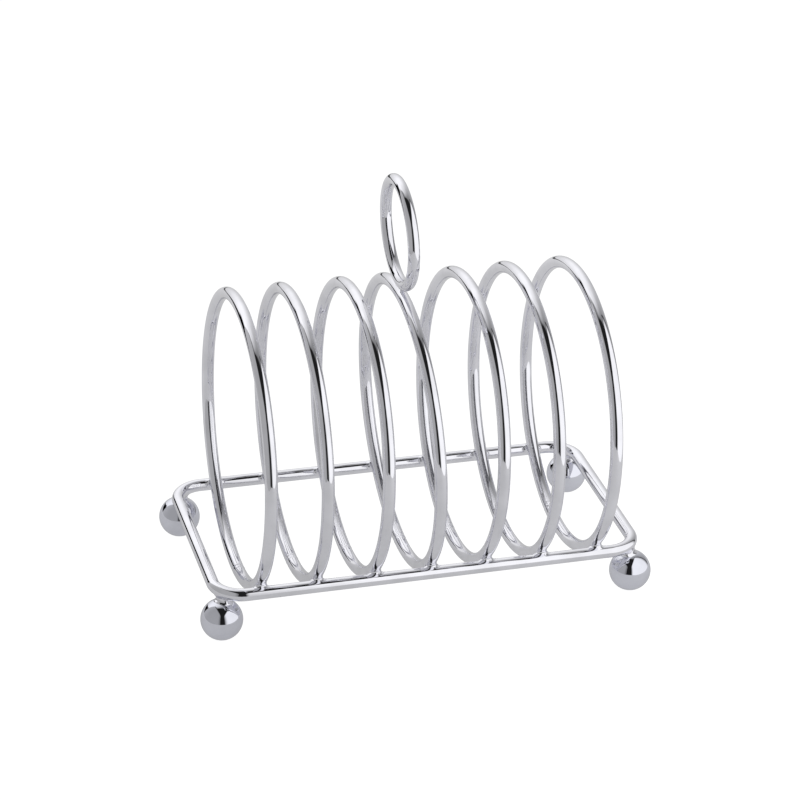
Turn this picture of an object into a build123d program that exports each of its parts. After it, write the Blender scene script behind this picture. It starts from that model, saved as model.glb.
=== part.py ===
from build123d import *
import math
import os

# A six-slice toast rack of chrome-plated round steel wire, welded at every joint, in millimetres.
# +Z is up. The origin is on the surface that the rack stands on, below the middle of the base frame.
# +X runs along the row of divider rings, from ring 1 to ring 7, and -Y is the front.

# Driving dimensions
WIRE_DIAMETER = 4.5
HANDLE_WIRE_DIAMETER = 4.2
RING_OUTER_DIAMETER = 108.0
RING_PITCH = 20.45
# The rings are set by hand, so each one stands a little off its even place along the row, and leans a
# little. Shifts are in millimetres and leans in degrees, both towards +X when positive.
RING_SHIFTS = (-0.2, -0.5, 0.0, 0.0, -0.3, -0.3, -0.3)
RING_LEANS = (0.7, 0.1, 0.7, -2.2, 1.2, 0.6, 0.9)
FRAME_OUTER_LENGTH = 158.3
FRAME_OUTER_WIDTH = 84.3
FRAME_BEND_RADIUS = 10.3  # to the wire's centreline
BALL_DIAMETER = 15.0
BALL_SPACING_X = 150.4
BALL_SPACING_Y = 73.9
HANDLE_OUTER_DIAMETER = 41.1
HANDLE_OFFSET_Y = -1.3  # the carrying ring stands a little in front of the middle

# Welds
RING_SET_DOWN = 0.06  # how far a divider ring melts into a rail
RING_WELD_FILLET = 1.4  # radius of the hollow fillet in the corner between two crossing wires
FOOT_WELD_GAP = 0.75  # from the top of a ball to the underside of the frame
FOOT_WELD_WAIST = 3.0
FOOT_WELD_FLARE = 3.6
FOOT_WELD_HEIGHT = 2.6
HANDLE_WELD_GAP = 0.6  # from the middle divider ring to the carrying ring
HANDLE_WELD_LENGTH = 8.0
HANDLE_WELD_WAIST = 1.8
HANDLE_WELD_FLARE = 2.8
HANDLE_WELD_HEIGHT = 2.4

# Sizes that follow from these
wire_radius = WIRE_DIAMETER / 2
ring_radius = (RING_OUTER_DIAMETER - WIRE_DIAMETER) / 2
rail_x = (FRAME_OUTER_LENGTH - WIRE_DIAMETER) / 2
rail_y = (FRAME_OUTER_WIDTH - WIRE_DIAMETER) / 2
frame_z = BALL_DIAMETER + FOOT_WELD_GAP + wire_radius
# A divider ring rests between the two rails: its centre, the contact and a rail's centre are in line.
ring_to_rail = ring_radius + WIRE_DIAMETER - RING_SET_DOWN
ring_z = frame_z + math.sqrt(ring_to_rail**2 - rail_y**2)
contact_share = (wire_radius - RING_SET_DOWN / 2) / ring_to_rail
contact_y = rail_y * (1 - contact_share)
contact_z = frame_z + (ring_z - frame_z) * contact_share
handle_wire_radius = HANDLE_WIRE_DIAMETER / 2
handle_radius = (HANDLE_OUTER_DIAMETER - HANDLE_WIRE_DIAMETER) / 2
ring_top = ring_z + ring_radius + wire_radius
handle_z = ring_top + HANDLE_WELD_GAP + handle_wire_radius + handle_radius

middle_ring = (len(RING_LEANS) + 1) // 2
sides = {"front": -1, "back": 1}
ends = {"left": -1, "right": 1}


def base_frame():
    """One wire bent to a rectangle with rounded corners, lying flat over the four balls."""
    path = Pos(0, 0, frame_z) * RectangleRounded(2 * rail_x, 2 * rail_y, FRAME_BEND_RADIUS).wire()
    section = Plane(origin=path @ 0, z_dir=path % 0) * Circle(wire_radius)
    return sweep(section, path=path)


def ring_x(number):
    """Where a divider ring rests on the rails, along the row."""
    return (number - middle_ring) * RING_PITCH + RING_SHIFTS[number - 1]


def standing_ring(radius, wire, y, z):
    """A closed wire ring that stands across the row, before it leans. Its ends meet half way up."""
    return Pos(0, y, z) * Rot(0, 90, 0) * Rot(0, 0, 90) * Torus(radius, wire)


def place_on_rails(number):
    """The move that stands an upright ring at its place on the rails, with its own lean."""
    return Pos(ring_x(number), 0, contact_z) * Rot(0, RING_LEANS[number - 1], 0) * Pos(0, 0, -contact_z)


def half_outline(waist, flare, height):
    """Half of a neck's outline in the XZ plane, hollow-sided when the waist is less than the flare."""
    bottom = Line((0, 0, -height / 2), (flare / 2, 0, -height / 2))
    side = ThreePointArc((flare / 2, 0, -height / 2), (waist / 2, 0, 0), (flare / 2, 0, height / 2))
    top = Line((flare / 2, 0, height / 2), (0, 0, height / 2))
    middle = Line((0, 0, height / 2), (0, 0, -height / 2))
    return make_face([bottom, side, top, middle])


def squeezed_metal():
    """What flows out where two wires are pressed together crosswise, pointed along both wires."""
    # A fillet ball in the corner touches one wire at its crown and the other one up its side.
    tip = 2 * math.sqrt(wire_radius * RING_WELD_FILLET)
    share = wire_radius / (wire_radius + RING_WELD_FILLET)
    top_radius = tip * share
    top_height = wire_radius - (wire_radius - RING_WELD_FILLET) * share
    cone = Cone(tip, top_radius, top_height, align=(Align.CENTER, Align.CENTER, Align.MIN))
    double_cone = cone + mirror(cone, about=Plane.XY)
    diamond = extrude(Rot(0, 0, 45) * Rectangle(tip * math.sqrt(2), tip * math.sqrt(2)), top_height, both=True)
    return double_cone & diamond


def ring_weld(ring, frame, number, side):
    """The fillet round the crossing of a leaning divider ring and one rail."""
    contact = (ring_x(number), side * contact_y, contact_z)
    towards_ring = (0, -side * rail_y, ring_z - frame_z)
    crossing = Plane(origin=contact, x_dir=(1, 0, 0), z_dir=towards_ring)
    return crossing.location * squeezed_metal() - ring - frame


def foot_weld(ball, frame, x, y):
    """The neck between a ball and the nearest place on the centreline of a corner bend."""
    bend_x = math.copysign(rail_x - FRAME_BEND_RADIUS, x)
    bend_y = math.copysign(rail_y - FRAME_BEND_RADIUS, y)
    share = FRAME_BEND_RADIUS / math.hypot(x - bend_x, y - bend_y)
    middle = (bend_x + (x - bend_x) * share, bend_y + (y - bend_y) * share, BALL_DIAMETER + FOOT_WELD_GAP / 2)
    neck = revolve(half_outline(FOOT_WELD_WAIST, FOOT_WELD_FLARE, FOOT_WELD_HEIGHT), Axis.Z)
    return Pos(*middle) * neck - ball - frame


def handle_weld(ring, handle):
    """The bead along the two rings where the carrying ring stands on the middle divider."""
    half = half_outline(HANDLE_WELD_WAIST, HANDLE_WELD_FLARE, HANDLE_WELD_HEIGHT)
    whole = half + mirror(half, about=Plane.YZ)
    plan = Rot(0, 0, 90) * SlotOverall(HANDLE_WELD_LENGTH, HANDLE_WELD_FLARE)
    rounded = extrude(plan, HANDLE_WELD_HEIGHT, both=True)
    bead = extrude(whole, HANDLE_WELD_LENGTH, both=True) & rounded
    return Pos(0, HANDLE_OFFSET_Y, ring_top + HANDLE_WELD_GAP / 2) * bead - ring - handle


parts = {"base_frame": base_frame()}

upright_ring = standing_ring(ring_radius, wire_radius, 0, ring_z)
for number in range(1, len(RING_LEANS) + 1):
    ring = place_on_rails(number) * upright_ring
    parts[f"divider_ring_{number}"] = ring - parts["base_frame"]
    for side_name, side in sides.items():
        parts[f"ring_weld_{number}_{side_name}"] = ring_weld(ring, parts["base_frame"], number, side)

upright_handle = standing_ring(handle_radius, handle_wire_radius, HANDLE_OFFSET_Y, handle_z)
parts["handle_ring"] = place_on_rails(middle_ring) * upright_handle
parts["handle_weld"] = place_on_rails(middle_ring) * handle_weld(upright_ring, upright_handle)

for side_name, side in sides.items():
    for end_name, end in ends.items():
        x = end * BALL_SPACING_X / 2
        y = side * BALL_SPACING_Y / 2
        ball = Pos(x, y, BALL_DIAMETER / 2) * Sphere(BALL_DIAMETER / 2)
        parts[f"foot_ball_{side_name}_{end_name}"] = ball
        parts[f"foot_weld_{side_name}_{end_name}"] = foot_weld(ball, parts["base_frame"], x, y)

os.makedirs("parts", exist_ok=True)
for name, part in parts.items():
    export_step(part, f"parts/{name}.step")
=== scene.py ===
import math

import bmesh
import bpy
import numpy as np
from mathutils import Matrix, Vector


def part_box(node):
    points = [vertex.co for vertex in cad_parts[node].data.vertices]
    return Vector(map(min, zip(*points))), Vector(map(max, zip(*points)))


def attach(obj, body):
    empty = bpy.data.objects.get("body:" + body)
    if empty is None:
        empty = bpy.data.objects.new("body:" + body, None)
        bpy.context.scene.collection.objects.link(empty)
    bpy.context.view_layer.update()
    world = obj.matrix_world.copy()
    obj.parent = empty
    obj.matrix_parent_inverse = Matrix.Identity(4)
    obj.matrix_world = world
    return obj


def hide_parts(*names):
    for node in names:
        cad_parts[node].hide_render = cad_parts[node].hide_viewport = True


# The looks of a chrome-plated wire toast rack, in metres, in the same frame as the CAD model:
# +Z up, +X along the row of divider rings, -Y towards the front, and the rack stands on Z = 0.

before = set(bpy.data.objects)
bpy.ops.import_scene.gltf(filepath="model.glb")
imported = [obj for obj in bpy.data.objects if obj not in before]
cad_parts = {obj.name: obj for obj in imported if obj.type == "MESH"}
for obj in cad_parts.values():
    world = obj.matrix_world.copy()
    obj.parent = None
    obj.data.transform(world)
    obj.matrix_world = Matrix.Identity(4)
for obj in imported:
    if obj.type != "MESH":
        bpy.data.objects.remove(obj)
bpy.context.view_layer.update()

MM = 0.001
MICROMETRE = 0.001 * MM
FULL_TURN = 2 * math.pi
RING_COUNT = 7
MIDDLE_RING = 4
BEND_RADIUS = 10.3 * MM  # of the base frame's corners, to the wire's centreline
SIDES = {"front": -1, "back": 1}
ENDS = ("left", "right")


# ---------------------------------------------------------------- what the frame says

def node_box(node):
    """The lowest and the highest corner of a CAD node."""
    return [np.array(corner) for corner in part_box(node)]


def node_points(node):
    """The places of a CAD node's vertices, one row each."""
    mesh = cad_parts[node].data
    places = np.empty(len(mesh.vertices) * 3)
    mesh.vertices.foreach_get("co", places)
    return places.reshape(-1, 3)


class StandingRing:
    """A wire ring that stands across the row, leaning a little along it."""

    def __init__(self, node):
        low, high = node_box(node)
        points = node_points(node)
        self.centre = (low + high) / 2
        slope, self.centre[0] = np.polyfit(points[:, 2] - self.centre[2], points[:, 0], 1)
        lean = math.atan(slope)
        outer = (high[1] - low[1]) / 2
        # Along the row a ring's half width is its wire's radius, and what the lean of its centreline adds.
        tilt = abs(math.sin(lean))
        self.wire = ((high[0] - low[0]) / 2 - outer * tilt) / (1 - tilt)
        self.radius = outer - self.wire
        self.across = np.array([0.0, 1.0, 0.0])
        self.up = np.array([math.sin(lean), 0.0, math.cos(lean)])
        self.normal = np.array([math.cos(lean), 0.0, -math.sin(lean)])

    def distance(self, points):
        """How far points are outside the wire's surface."""
        offset = points - self.centre
        out = np.hypot(offset @ self.across, offset @ self.up) - self.radius
        return np.hypot(out, offset @ self.normal) - self.wire

    def line(self, angles):
        """Places on the wire's centreline, and the directions away from the centre and along the axis."""
        outward = np.cos(angles)[:, None] * self.across + np.sin(angles)[:, None] * self.up
        return self.centre + self.radius * outward, outward, np.tile(self.normal, (len(angles), 1))


class BaseFrame:
    """The wire rectangle with rounded corners that the rings stand on."""

    STEP = 0.5 * MM  # between places along the centreline
    LEAST_BEND_STEPS = 16

    def __init__(self, node):
        low, high = node_box(node)
        self.wire = (high[2] - low[2]) / 2
        self.centre = (low + high) / 2
        self.half = (high - low)[:2] / 2 - self.wire
        self.bend = BEND_RADIUS

    def distance(self, points):
        """How far points are outside the wire's surface."""
        offset = points - self.centre
        corner = np.abs(offset[..., :2]) - (self.half - self.bend)
        outside = np.linalg.norm(np.maximum(corner, 0), axis=-1)
        out = outside + np.minimum(corner.max(axis=-1), 0) - self.bend
        return np.hypot(out, offset[..., 2]) - self.wire

    def line(self):
        """Places on the wire's centreline, and the directions outward and up."""
        straight = self.half - self.bend
        bend_steps = max(int(self.bend * math.pi / 2 / self.STEP), self.LEAST_BEND_STEPS)
        places = []
        outward = []
        for turn in range(4):
            heading = turn * math.pi / 2
            corner_x = straight[0] * (1 if turn in (0, 3) else -1)
            corner_y = straight[1] * (1 if turn in (0, 1) else -1)
            for angle in heading + np.linspace(0, math.pi / 2, bend_steps + 1):
                direction = np.array([math.cos(angle), math.sin(angle), 0.0])
                places.append(self.centre + np.array([corner_x, corner_y, 0.0]) + self.bend * direction)
                outward.append(direction)
            run = 2 * straight[0 if turn in (0, 2) else 1]
            along = np.array([-math.sin(heading + math.pi / 2), math.cos(heading + math.pi / 2), 0.0])
            start = places[-1]
            run_steps = int(run / self.STEP)
            for step in range(1, run_steps):
                places.append(start + along * run * step / run_steps)
                outward.append(outward[-1])
        return np.array(places), np.array(outward), np.tile([0.0, 0.0, 1.0], (len(places), 1))


class Ball:
    """One ball foot."""

    def __init__(self, node):
        low, high = node_box(node)
        self.centre = (low + high) / 2
        self.radius = (high[2] - low[2]) / 2

    def distance(self, points):
        """How far points are outside the ball."""
        return np.linalg.norm(points - self.centre, axis=-1) - self.radius


# ---------------------------------------------------------------- small unevenness

WAVE_COUNT = 6
WAVE_SPREAD = (0.7, 1.6)  # of the waves' lengths, about the one asked for


def waves(seed, length):
    """A smooth uneven field, from about -1 to 1, whose hills are about a length apart."""
    chance = np.random.default_rng(seed)
    headings = chance.normal(size=(WAVE_COUNT, 3))
    headings /= np.linalg.norm(headings, axis=1)[:, None]
    numbers = FULL_TURN / (length * chance.uniform(*WAVE_SPREAD, WAVE_COUNT))
    phases = chance.uniform(0, FULL_TURN, WAVE_COUNT)

    def field(points):
        return np.sin((points @ headings.T) * numbers + phases).sum(axis=-1) / math.sqrt(WAVE_COUNT * 2)

    return field


# ---------------------------------------------------------------- node trees

# A colour mix node's own places for its two colours and its result
MIX_FIRST = 6
MIX_SECOND = 7
MIX_RESULT = 2


class Tree:
    """A short way to write a node tree."""

    def __init__(self, tree):
        self.tree = tree

    def add(self, kind, inputs, **settings):
        """A node with these settings, whose inputs are values or other nodes' outputs."""
        node = self.tree.nodes.new(kind)
        for name, value in settings.items():
            setattr(node, name, value)
        for socket, value in inputs.items():
            if isinstance(value, bpy.types.NodeSocket):
                self.tree.links.new(value, node.inputs[socket])
            else:
                node.inputs[socket].default_value = value
        return node

    def place(self, kind):
        """Where a point of the surface, or a direction, is: one of the texture coordinates."""
        return self.add("ShaderNodeTexCoord", {}).outputs[kind]

    def unrolled(self, uv_map):
        """Where a point of the surface is on one of its maps."""
        return self.add("ShaderNodeUVMap", {}, uv_map=uv_map).outputs[0]

    def split(self, vector):
        """The three parts of a vector."""
        return self.add("ShaderNodeSeparateXYZ", {0: vector}).outputs

    def math(self, operation, *values):
        """A number worked out from one or two others."""
        return self.add("ShaderNodeMath", dict(enumerate(values)), operation=operation).outputs[0]

    def vector_math(self, operation, first, second):
        """A vector worked out from two others."""
        return self.add("ShaderNodeVectorMath", {0: first, 1: second}, operation=operation).outputs[0]

    def ramp(self, value, start, end, low=0.0, high=1.0):
        """A smooth step from low at start to high at end."""
        inputs = {"Value": value, "From Min": start, "From Max": end, "To Min": low, "To Max": high}
        return self.add("ShaderNodeMapRange", inputs, interpolation_type="SMOOTHSTEP").outputs[0]

    def noise(self, place, length, detail):
        """An uneven field from 0 to 1, whose hills are about a length apart."""
        inputs = {"Vector": place, "Scale": 1 / length, "Detail": detail}
        return self.add("ShaderNodeTexNoise", inputs).outputs["Fac"]

    def mix(self, share, first, second):
        """A colour between two others."""
        inputs = {"Factor": share, MIX_FIRST: first, MIX_SECOND: second}
        return self.add("ShaderNodeMix", inputs, data_type="RGBA").outputs[MIX_RESULT]

    def seen_by_camera(self):
        """1 where the camera sees a thing itself, and 0 in reflections and for the light that it gives."""
        return self.add("ShaderNodeLightPath", {}).outputs["Is Camera Ray"]


# ---------------------------------------------------------------- chrome

WIRE_PLATE = (0.9, 0.9, 0.949, 1)
BALL_PLATE = (0.80, 0.81, 0.885, 1)
HAZE_SHARE = 0.915  # of the plate's brightness where it is hazy
GRAZING_TINT = (0.88, 0.88, 0.88, 1)  # of what the plate reflects where it is seen edge on

# Each noise is the length of its hills, and how many finer layers it has. The edges after it are the
# noise's values where what it draws begins and is full.
CLOUD_NOISE = (11 * MM, 3)  # wide clouds of haze, where the plate is darker
CLOUD_EDGES = (0.35, 0.7)
SMEAR_NOISE = (1.6 * MM, 4)  # fine smears inside the clouds, where it is also duller
SMEAR_EDGES = (0.45, 0.75)
SMEAR_SHARE = 0.5  # of the haze's darkening that the smears add
DULL_EDGES = (0.0, 0.8)

PIT_COLOUR = (0.16, 0.16, 0.17, 1)
PIT_SPACING = 5 * MM
PIT_CHANCE = (0.75, 0.8)  # cells below the first number have no pinhole, and those above the second do
PIT_SIZE = 0.035  # the largest pinhole's radius, as a share of the spacing
PIT_RIM = 0.012  # how soft a pinhole's rim is, as a share of the spacing
PIT_DULLNESS = 0.4
PIT_DEPTH = 4.0  # in micrometres, as all heights of the surface are

SWELL_NOISE = (3.5 * MM, 1)  # the slow waviness that polishing leaves
GRAIN_NOISE = (0.5 * MM, 2)
GRAIN_SHARE = 0.05  # of the waviness's height
LINE_NOISE = (0.35 * MM, 2)  # lines that drawing leaves along a wire
LINE_STRETCH = (0.02, 1, 1)


def pinholes(tree, place):
    """1 inside the few pinholes in the plate, and 0 elsewhere."""
    cells = tree.add("ShaderNodeTexVoronoi", {"Vector": place, "Scale": 1 / PIT_SPACING})
    chance = tree.add("ShaderNodeSeparateColor", {"Color": cells.outputs["Color"]}).outputs["Red"]
    size = tree.ramp(chance, PIT_CHANCE[0], 1.0, 0.0, PIT_SIZE)
    pit = tree.ramp(tree.math("SUBTRACT", cells.outputs["Distance"], size), PIT_RIM, 0.0)
    return tree.math("MULTIPLY", pit, tree.ramp(chance, *PIT_CHANCE))


def relief(tree, place, pit, swell, lines):
    """The surface's height in micrometres: waves, a fine grain, drawing lines and pinholes."""
    height = tree.math("MULTIPLY", tree.noise(place, *SWELL_NOISE), swell)
    grain = tree.math("MULTIPLY", tree.noise(place, *GRAIN_NOISE), swell * GRAIN_SHARE)
    height = tree.math("ADD", height, grain)
    if lines:
        stretched = tree.vector_math("MULTIPLY", tree.unrolled("unrolled"), LINE_STRETCH)
        drawn = tree.noise(stretched, *LINE_NOISE)
        height = tree.math("ADD", height, tree.math("MULTIPLY", drawn, lines))
    return tree.math("SUBTRACT", height, tree.math("MULTIPLY", pit, PIT_DEPTH))


def chrome(name, plate, clear, hazy, swell, lines, shift):
    """Polished chrome plate, with haze and pinholes.

    Clear and hazy are its roughness where it is so, swell and lines the heights of its waves and drawing
    lines in micrometres, and shift moves the whole pattern by some metres.
    """
    material = bpy.data.materials.new(name)
    material.use_nodes = True
    tree = Tree(material.node_tree)
    place = tree.vector_math("ADD", tree.place("Object"), (shift, 2 * shift, 0))

    cloud = tree.ramp(tree.noise(place, *CLOUD_NOISE), *CLOUD_EDGES)
    smear = tree.ramp(tree.noise(place, *SMEAR_NOISE), *SMEAR_EDGES)
    haze = tree.math("MULTIPLY", cloud, smear)
    pit = pinholes(tree, place)

    hazy_plate = (*(HAZE_SHARE * channel for channel in plate[:3]), 1)
    colour = tree.mix(cloud, plate, hazy_plate)
    colour = tree.mix(tree.math("MULTIPLY", haze, SMEAR_SHARE), colour, hazy_plate)
    colour = tree.mix(pit, colour, PIT_COLOUR)
    dullness = tree.ramp(haze, *DULL_EDGES, clear, hazy)
    roughness = tree.math("ADD", dullness, tree.math("MULTIPLY", pit, PIT_DULLNESS))
    height = relief(tree, place, pit, swell, lines)
    bump = tree.add("ShaderNodeBump", {"Strength": 1.0, "Distance": MICROMETRE, "Height": height})

    shader = material.node_tree.nodes["Principled BSDF"]
    shader.inputs["Metallic"].default_value = 1
    shader.inputs["Specular Tint"].default_value = GRAZING_TINT
    links = material.node_tree.links
    links.new(colour, shader.inputs["Base Color"])
    links.new(roughness, shader.inputs["Roughness"])
    links.new(bump.outputs[0], shader.inputs["Normal"])
    return material


# The keys are the record's material slots.
PLATINGS = {
    name: chrome(name, **look)
    for name, look in {
        "chrome_wire": dict(plate=WIRE_PLATE, clear=0.03, hazy=0.08, swell=0.8, lines=0.04, shift=0.0),
        "chrome_ball": dict(plate=BALL_PLATE, clear=0.02, hazy=0.06, swell=0.8, lines=0, shift=0.3),
        "chrome_weld": dict(plate=WIRE_PLATE, clear=0.05, hazy=0.12, swell=2.0, lines=0, shift=0.7),
    }.items()
}


# ---------------------------------------------------------------- meshes

def add_piece(name, vertices, faces, node, slot):
    """A smooth mesh object that stands for a CAD node."""
    mesh = bpy.data.meshes.new(name)
    mesh.from_pydata(vertices.tolist(), [], faces.tolist())
    mesh.shade_smooth()
    mesh.materials.append(PLATINGS[slot])
    piece = bpy.data.objects.new(name, mesh)
    bpy.context.scene.collection.objects.link(piece)
    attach(piece, "root")
    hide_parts(node)
    return piece


WIRE_SIDES = 48
WIRE_UNEVENNESS = 0.0016  # of the wire's radius
WIRE_WAVE_LENGTH = 14 * MM
WIRE_WAVE_REACH = 9 * MM  # how far out the waves are read, so that they differ round the wire
QUAD_CORNERS = ((0, 0), (1, 0), (1, 1), (0, 1))  # steps along the wire and round it


def closed_wire(name, line, radii, node, seed):
    """A round wire along a closed line, with a radius at each of the line's places."""
    places, outward, sideways = line
    turns = np.linspace(0, FULL_TURN, WIRE_SIDES, endpoint=False)
    cosines = np.cos(turns)[None, :, None]
    sines = np.sin(turns)[None, :, None]
    around = cosines * outward[:, None] + sines * sideways[:, None]
    wave = waves(seed, WIRE_WAVE_LENGTH)
    uneven = 1 + WIRE_UNEVENNESS * wave(places[:, None] + WIRE_WAVE_REACH * around)
    vertices = places[:, None] + around * (radii[:, None] * uneven)[..., None]
    rows, columns = np.divmod(np.arange(len(places) * WIRE_SIDES), WIRE_SIDES)
    faces = np.stack([
        (rows + row_step) % len(places) * WIRE_SIDES + (columns + column_step) % WIRE_SIDES
        for row_step, column_step in QUAD_CORNERS
    ], axis=1)
    piece = add_piece(name, vertices.reshape(-1, 3), faces, node, "chrome_wire")
    # The map unrolls the wire, in metres: along it, and round it.
    steps = np.linalg.norm(np.diff(places, axis=0, append=places[:1]), axis=1)
    along = np.concatenate([[0], np.cumsum(steps)])
    across = np.linspace(0, FULL_TURN, WIRE_SIDES + 1) * radii.mean()
    unrolled = np.stack([
        np.stack([along[rows + row_step], across[columns + column_step]], axis=1)
        for row_step, column_step in QUAD_CORNERS
    ], axis=1)
    piece.data.uv_layers.new(name="unrolled").data.foreach_set("uv", unrolled.ravel())
    return piece


RING_STEPS = 320
RING_ANGLES = np.linspace(0, FULL_TURN, RING_STEPS, endpoint=False)

# The butt weld that closes a divider ring leaves a low ridge with a fine groove on each side.
SEAM_HEIGHT = 0.05 * MM
SEAM_HALF_WIDTH = 0.5 * MM
GROOVE_DEPTH = 0.05 * MM
GROOVE_HALF_WIDTH = 0.35 * MM
GROOVE_FROM_SEAM = 1.1 * MM
SEAM_REACH = 4 * MM  # how far on each side of a seam the mesh has finer steps
SEAM_STEPS = 41
ANGLE_DIGITS = 5  # places whose angles are the same to this many digits are one place


def seam_radii(from_seam, wire):
    """The wire's radius at some distances along it from its butt weld."""
    ridge = SEAM_HEIGHT * np.exp(-(from_seam / SEAM_HALF_WIDTH) ** 2)
    groove = GROOVE_DEPTH * np.exp(-((np.abs(from_seam) - GROOVE_FROM_SEAM) / GROOVE_HALF_WIDTH) ** 2)
    return wire + ridge - groove


def seamed_ring(name, ring, seam_angle, node, seed):
    """A standing ring, with finer steps near the butt weld that closes it."""
    fine = seam_angle + np.linspace(-SEAM_REACH, SEAM_REACH, SEAM_STEPS) / ring.radius
    angles = np.unique(np.round(np.concatenate([RING_ANGLES, fine]), ANGLE_DIGITS))
    radii = seam_radii((angles - seam_angle) * ring.radius, ring.wire)
    return closed_wire(name, ring.line(angles), radii, node, seed)


def seamless_ring(name, ring, node, seed):
    """A standing ring whose butt weld is polished away."""
    return closed_wire(name, ring.line(RING_ANGLES), np.full(RING_STEPS, ring.wire), node, seed)


def directions(subdivisions):
    """Even directions in space, and the triangles between them."""
    ball = bmesh.new()
    bmesh.ops.create_icosphere(ball, subdivisions=subdivisions, radius=1)
    rays = np.array([corner.co for corner in ball.verts])
    rays /= np.linalg.norm(rays, axis=1)[:, None]
    triangles = np.array([[corner.index for corner in face.verts] for face in ball.faces])
    ball.free()
    return rays, triangles


WELD_RAYS, WELD_TRIANGLES = directions(subdivisions=5)
BALL_RAYS, BALL_TRIANGLES = directions(subdivisions=6)
BALL_UNEVENNESS = 0.0005  # of the ball's radius
BALL_WAVE_LENGTH = 6 * MM


def ball_piece(name, ball, node, seed):
    """A ball foot, a few micrometres out of round."""
    wave = waves(seed, BALL_WAVE_LENGTH)
    radii = ball.radius * (1 + BALL_UNEVENNESS * wave(BALL_RAYS * ball.radius))
    return add_piece(name, ball.centre + BALL_RAYS * radii[:, None], BALL_TRIANGLES, node, "chrome_ball")


def blended(first, second, blend):
    """The distance from two bodies joined with a hollow fillet, which is about a blend wide."""

    def distance(points):
        from_first = first.distance(points)
        from_second = second.distance(points)
        near = np.maximum(blend - np.abs(from_first - from_second), 0) / blend
        return np.minimum(from_first, from_second) - near * near * blend / 4

    return distance


# How wide a weld's blend is, and how far from its middle its metal reaches
RING_WELD = (2.1 * MM, 4.4 * MM)
FOOT_WELD = (3.0 * MM, 3.6 * MM)
HANDLE_WELD = (1.6 * MM, 5 * MM)
WELD_SUNK = 0.012 * MM  # under the bare wires, so that only the fillet shows
WELD_UNEVENNESS = 0.12  # of the fillet's thickness
WELD_WAVE_LENGTH = 2.2 * MM
WELD_STEPS = 70  # along each ray, to find where it first leaves the metal
WELD_HALVINGS = 14  # of that step, to find the surface


def weld_piece(name, first, second, middle, size, node, seed):
    """The metal of a weld between two bodies: all within reach of its middle, out to the fillet's face."""
    blend, reach = size
    outside = blended(first, second, blend)
    uneven = waves(seed, WELD_WAVE_LENGTH)

    def height(points):
        lift = np.minimum(first.distance(points), second.distance(points)) - outside(points)
        return outside(points) + WELD_SUNK + WELD_UNEVENNESS * lift * uneven(points)

    steps = np.linspace(0, reach, WELD_STEPS)
    low = np.zeros(len(WELD_RAYS))
    high = np.full(len(WELD_RAYS), reach)
    found = np.zeros(len(WELD_RAYS), bool)
    for near, far in zip(steps[:-1], steps[1:]):
        crossed = ~found & (height(middle + WELD_RAYS * far) > 0)
        low[crossed] = near
        high[crossed] = far
        found |= crossed
    for _ in range(WELD_HALVINGS):
        half = (low + high) / 2
        out = height(middle + WELD_RAYS * half[:, None]) > 0
        high = np.where(found & out, half, high)
        low = np.where(found & ~out, half, low)
    return add_piece(name, middle + WELD_RAYS * high[:, None], WELD_TRIANGLES, node, "chrome_weld")


# ---------------------------------------------------------------- the pieces

# Where round a divider ring its butt weld is, in degrees up from the back: near its lowest point, and a
# little further on for each ring of the row
DIVIDER_SEAM = 263
DIVIDER_SEAM_STEP = 3

FRAME_SEED = 911
DIVIDER_SEED = 380
HANDLE_SEED = 377
FIRST_BALL_SEED = 40
HANDLE_WELD_SEED = 7

base = BaseFrame("base_frame")
rings = {number: StandingRing(f"divider_ring_{number}") for number in range(1, RING_COUNT + 1)}
handle = StandingRing("handle_ring")
balls = {f"{side}_{end}": Ball(f"foot_ball_{side}_{end}") for side in SIDES for end in ENDS}


def ring_weld(number, side_name):
    """The fillet where a divider ring rests on the front or the back rail."""
    node = f"ring_weld_{number}_{side_name}"
    side = SIDES[side_name]
    ring = rings[number]
    rail = np.array([ring.centre[0], side * base.half[1], base.centre[2]])
    towards = ring.centre - rail
    towards[0] = 0
    middle = rail + towards / np.linalg.norm(towards) * base.wire
    low, high = node_box(node)
    middle[0] = (low[0] + high[0]) / 2
    weld_piece(f"{node}_fillet", ring, base, middle, RING_WELD, node, 10 * number + side)


def foot_weld(place):
    """The neck between a ball foot and the frame."""
    node = f"foot_weld_{place}"
    ball = balls[place]
    low, high = node_box(node)
    middle = (low + high) / 2
    middle[2] = (ball.centre[2] + ball.radius + base.centre[2] - base.wire) / 2
    weld_piece(f"{node}_neck", ball, base, middle, FOOT_WELD, node, len(place))


def handle_weld():
    """The bead between the carrying ring and the middle divider."""
    low, high = node_box("handle_weld")
    middle = (low + high) / 2
    divider = rings[MIDDLE_RING]
    weld_piece("handle_weld_bead", handle, divider, middle, HANDLE_WELD, "handle_weld", HANDLE_WELD_SEED)


base_line = base.line()
frame_radii = np.full(len(base_line[0]), base.wire)
closed_wire("base_frame_wire", base_line, frame_radii, "base_frame", FRAME_SEED)
for number, ring in rings.items():
    seam = math.radians(DIVIDER_SEAM + DIVIDER_SEAM_STEP * number)
    seamed_ring(f"divider_ring_wire_{number}", ring, seam, f"divider_ring_{number}", DIVIDER_SEED)
seamless_ring("handle_ring_wire", handle, "handle_ring", HANDLE_SEED)

for number in rings:
    for side_name in SIDES:
        ring_weld(number, side_name)
for place, ball in balls.items():
    foot_weld(place)
    ball_piece(f"foot_ball_{place}_polished", ball, f"foot_ball_{place}", FIRST_BALL_SEED + len(place))
handle_weld()


# ---------------------------------------------------------------- floor and boards

FLOOR_LEFT = -0.36
FLOOR_RIGHT = 0.45
FLOOR_FRONT = -0.46
FLOOR_BACK = 0.66  # the rings' tops mirror the dark past this edge as a thin line

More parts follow.
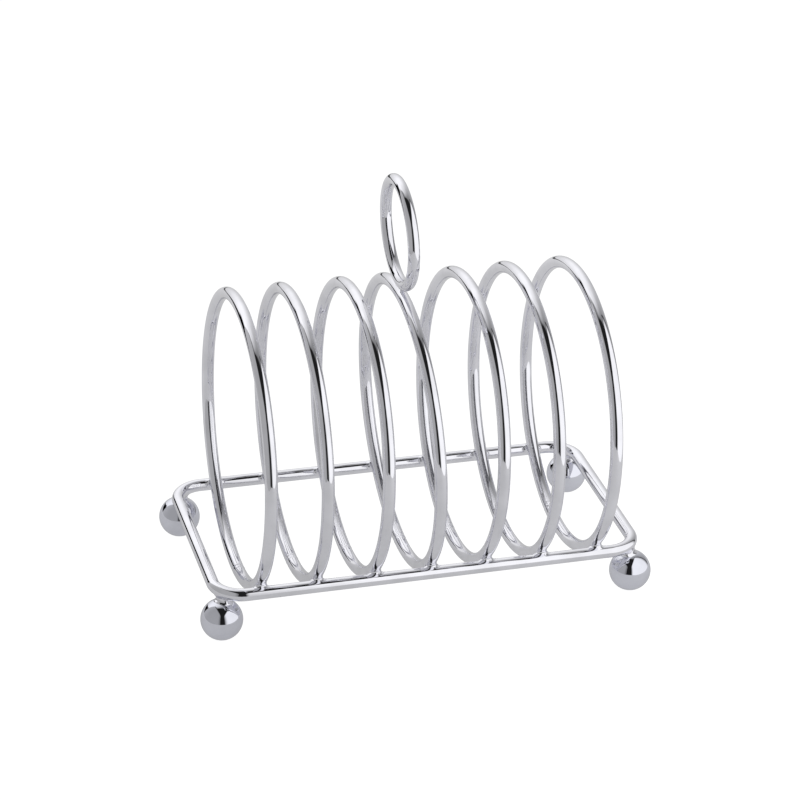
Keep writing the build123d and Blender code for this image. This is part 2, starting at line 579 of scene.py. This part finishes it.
# The paper has painted light: a glow of its own, besides the light that falls on it. The painted glow grows
# towards the back and a little towards the right.
PAPER_COLOUR = (0.25, 0.25, 0.25, 1)
PAPER_GLOW = (0.394, 0.610)  # at the front and at the back
PAPER_GLOW_Y = (-0.1, 0.45)  # where it starts to grow, and where it is full
PAPER_GLOW_RIGHT = 0.066  # more on the right
PAPER_GLOW_X = (-0.05, 0.2)  # where that starts, and where it is full
PAPER_GLOW_SEEN = 0.94  # at least, to the camera itself, which sees plain white


def studio_sheet(name, corners, material):
    """A flat four-cornered sheet of the studio, whose map runs from 0 to 1 each way."""
    mesh = bpy.data.meshes.new(name)
    mesh.from_pydata(corners, [], [(0, 1, 2, 3)])
    mesh.uv_layers.new(name="across").data.foreach_set("uv", (0, 0, 1, 0, 1, 1, 0, 1))
    mesh.materials.append(material)
    sheet = bpy.data.objects.new(name, mesh)
    bpy.context.scene.collection.objects.link(sheet)
    return sheet


def glowing_white_paper():
    """Matt white paper with painted light: it glows, more towards the back and the right."""
    material = bpy.data.materials.new("glowing_white_paper")
    material.use_nodes = True
    shader = material.node_tree.nodes["Principled BSDF"]
    shader.inputs["Base Color"].default_value = PAPER_COLOUR
    shader.inputs["Roughness"].default_value = 1
    shader.inputs["Specular IOR Level"].default_value = 0
    shader.inputs["Emission Color"].default_value = (1, 1, 1, 1)
    tree = Tree(material.node_tree)
    x, y, _ = tree.split(tree.place("Object"))
    # painted light: the paper's glow, brighter towards the back and the right, and at least PAPER_GLOW_SEEN
    # to the camera itself
    glow = tree.ramp(y, *PAPER_GLOW_Y, *PAPER_GLOW)
    glow = tree.math("ADD", glow, tree.ramp(x, *PAPER_GLOW_X, 0.0, PAPER_GLOW_RIGHT))
    seen_glow = tree.math("MULTIPLY", tree.seen_by_camera(), PAPER_GLOW_SEEN)
    glow = tree.math("MAXIMUM", glow, seen_glow)
    material.node_tree.links.new(glow, shader.inputs["Emission Strength"])
    return material


def board(name, start, end, bottom, tops, glow, shares=(1.0, 1.0), full=(0.2, 0.8), fade=0.9):
    """A soft glowing or dark board that stands near the rack, and that the camera itself doesn't see.

    Its start and end are places on the floor, and tops are its upper edge's heights there. Shares are of
    its glow, at the start and at the end. The glow is full between two places along the board, where 0 is
    the start and 1 the end. It fades from a share of the height, fade, to nothing at the upper edge.
    """
    material = bpy.data.materials.new(name)
    material.use_nodes = True
    material.node_tree.nodes.clear()
    tree = Tree(material.node_tree)
    along, upward, _ = tree.split(tree.unrolled("across"))
    near_end = tree.ramp(along, 0, full[0], glow * shares[0], glow)
    far_end = tree.ramp(along, full[1], 1.0, 1.0, shares[1])
    upper = tree.ramp(upward, 1.0, fade)
    strength = tree.math("MULTIPLY", near_end, tree.math("MULTIPLY", far_end, upper))
    light = tree.add("ShaderNodeEmission", {"Strength": strength})
    tree.add("ShaderNodeOutputMaterial", {"Surface": light.outputs[0]})
    corners = ((*start, bottom), (*end, bottom), (*end, tops[1]), (*start, tops[0]))
    studio_sheet(name, corners, material).visible_camera = False


floor_corners = (
    (FLOOR_LEFT, FLOOR_FRONT, 0), (FLOOR_RIGHT, FLOOR_FRONT, 0),
    (FLOOR_RIGHT, FLOOR_BACK, 0), (FLOOR_LEFT, FLOOR_BACK, 0),
)
studio_sheet("floor", floor_corners, glowing_white_paper())

board(
    "white_board", start=(-0.212, -0.405), end=(-0.36, 0.27), bottom=0.0, tops=(0.50, 0.68),
    glow=0.407, shares=(0.45, 1.25), full=(0.2, 0.55), fade=0.70,
)
board(
    "side_softbox", start=(-0.058, -0.692), end=(0.28, 0.05), bottom=-0.3, tops=(0.62, 0.54),
    glow=1.05, shares=(0.0, 0.0), full=(0.42, 0.89), fade=0.88,
)
board("dark_stand", start=(-0.64, 0.62), end=(-0.235, 0.62), bottom=0.0, tops=(0.35, 0.02), glow=0.0)


# ---------------------------------------------------------------- the rest of the room

# Each soft window of the far-off room is its left and right edge as headings, from +Y towards +X, and its
# lower and upper edge as heights, all in degrees and each with its softness, and then its glow.
WINDOWS = (
    ((-50, 14), (40, 90), (-6.5, 1.5), (66, 44), 0.492),  # a softbox behind
    ((-50, 14), (40, 90), (8, 50), (66, 44), 0.348),  # its brighter upper part
    ((-72, 20), (98, 40), (-6.5, 1.5), (90, 20), 0.236),  # the wall behind
    ((6, 10), (75, 40), (-12, 1), (-6.5, 1.5), 0.558),  # the lit foot of the wall
    ((-62, 40), (50, 60), (62, 20), (84, 20), 0.216),  # the ceiling
)
DARK_SLIT = ((-52, 6), (-36, 6), (-90, 1), (22, 8), 1.0)  # between the white board and the wall
DIM_ROOM = 0.015
PLAIN_WALL = 1.05  # what the camera itself sees past the floor


def window(tree, heading, rise, left, right, bottom, top, glow):
    """The glow inside a soft-edged part of the room, and 0 outside it."""
    share = glow
    for value, (edge, softness), way in (
        (heading, left, 1), (heading, right, -1), (rise, bottom, 1), (rise, top, -1),
    ):
        start = math.radians(edge - way * softness / 2)
        end = math.radians(edge + way * softness / 2)
        share = tree.math("MULTIPLY", share, tree.ramp(value, start, end))
    return share


def studio_room():
    """The world: a dim room with soft windows, which the camera itself sees as a plain wall."""
    world = bpy.data.worlds.new("studio")
    world.use_nodes = True
    tree = Tree(world.node_tree)
    x, y, z = tree.split(tree.place("Generated"))
    heading = tree.math("ARCTAN2", x, y)
    rise = tree.math("ARCSINE", z)
    brightness = DIM_ROOM
    for shape in WINDOWS:
        brightness = tree.math("ADD", brightness, window(tree, heading, rise, *shape))
    not_dark = tree.math("SUBTRACT", 1.0, window(tree, heading, rise, *DARK_SLIT))
    brightness = tree.math("MULTIPLY", brightness, not_dark)
    inputs = {"Factor": tree.seen_by_camera(), "A": brightness, "B": PLAIN_WALL}
    strength = tree.add("ShaderNodeMix", inputs, data_type="FLOAT").outputs[0]
    background = world.node_tree.nodes["Background"]
    background.inputs["Color"].default_value = (1, 1, 1, 1)
    world.node_tree.links.new(strength, background.inputs["Strength"])
    return world


bpy.context.scene.world = studio_room()

# A wide soft light from above falls on the floor, and the chrome doesn't mirror it.
OVERHEAD_STRENGTH = 0.295
OVERHEAD_WIDTH = math.radians(80)

overhead = bpy.data.lights.new("overhead", "SUN")
overhead.energy = OVERHEAD_STRENGTH
overhead.angle = OVERHEAD_WIDTH
lamp = bpy.data.objects.new("overhead", overhead)
lamp.visible_glossy = False
bpy.context.scene.collection.objects.link(lamp)


# ---------------------------------------------------------------- camera

CAMERA_PLACE = (-0.25884, -0.89519, 0.55169)
CAMERA_HEADING = math.radians(15.996)  # from +Y towards +X
CAMERA_DOWN = math.radians(27.522)
CAMERA_ROLL = math.radians(-1.586)
CAMERA_LENS = 132.734  # in millimetres, as is the width of its sensor
CAMERA_SENSOR = 36


def camera_turn():
    """The camera's turn in space: its right, its up and its back as the columns of a matrix."""
    level = math.cos(CAMERA_DOWN)
    forward = Vector((
        math.sin(CAMERA_HEADING) * level,
        math.cos(CAMERA_HEADING) * level,
        -math.sin(CAMERA_DOWN),
    ))
    right = Vector((math.cos(CAMERA_HEADING), -math.sin(CAMERA_HEADING), 0))
    upward = right.cross(forward)
    rolled_right = math.cos(CAMERA_ROLL) * right - math.sin(CAMERA_ROLL) * upward
    rolled_up = math.sin(CAMERA_ROLL) * right + math.cos(CAMERA_ROLL) * upward
    return Matrix((rolled_right, rolled_up, -forward)).transposed().to_4x4()


camera_data = bpy.data.cameras.new("camera")
camera_data.lens = CAMERA_LENS
camera_data.sensor_width = CAMERA_SENSOR
camera = bpy.data.objects.new("camera", camera_data)
bpy.context.scene.collection.objects.link(camera)
camera.matrix_world = Matrix.Translation(CAMERA_PLACE) @ camera_turn()
bpy.context.scene.camera = camera
bpy.context.scene.view_settings.view_transform = "Standard"
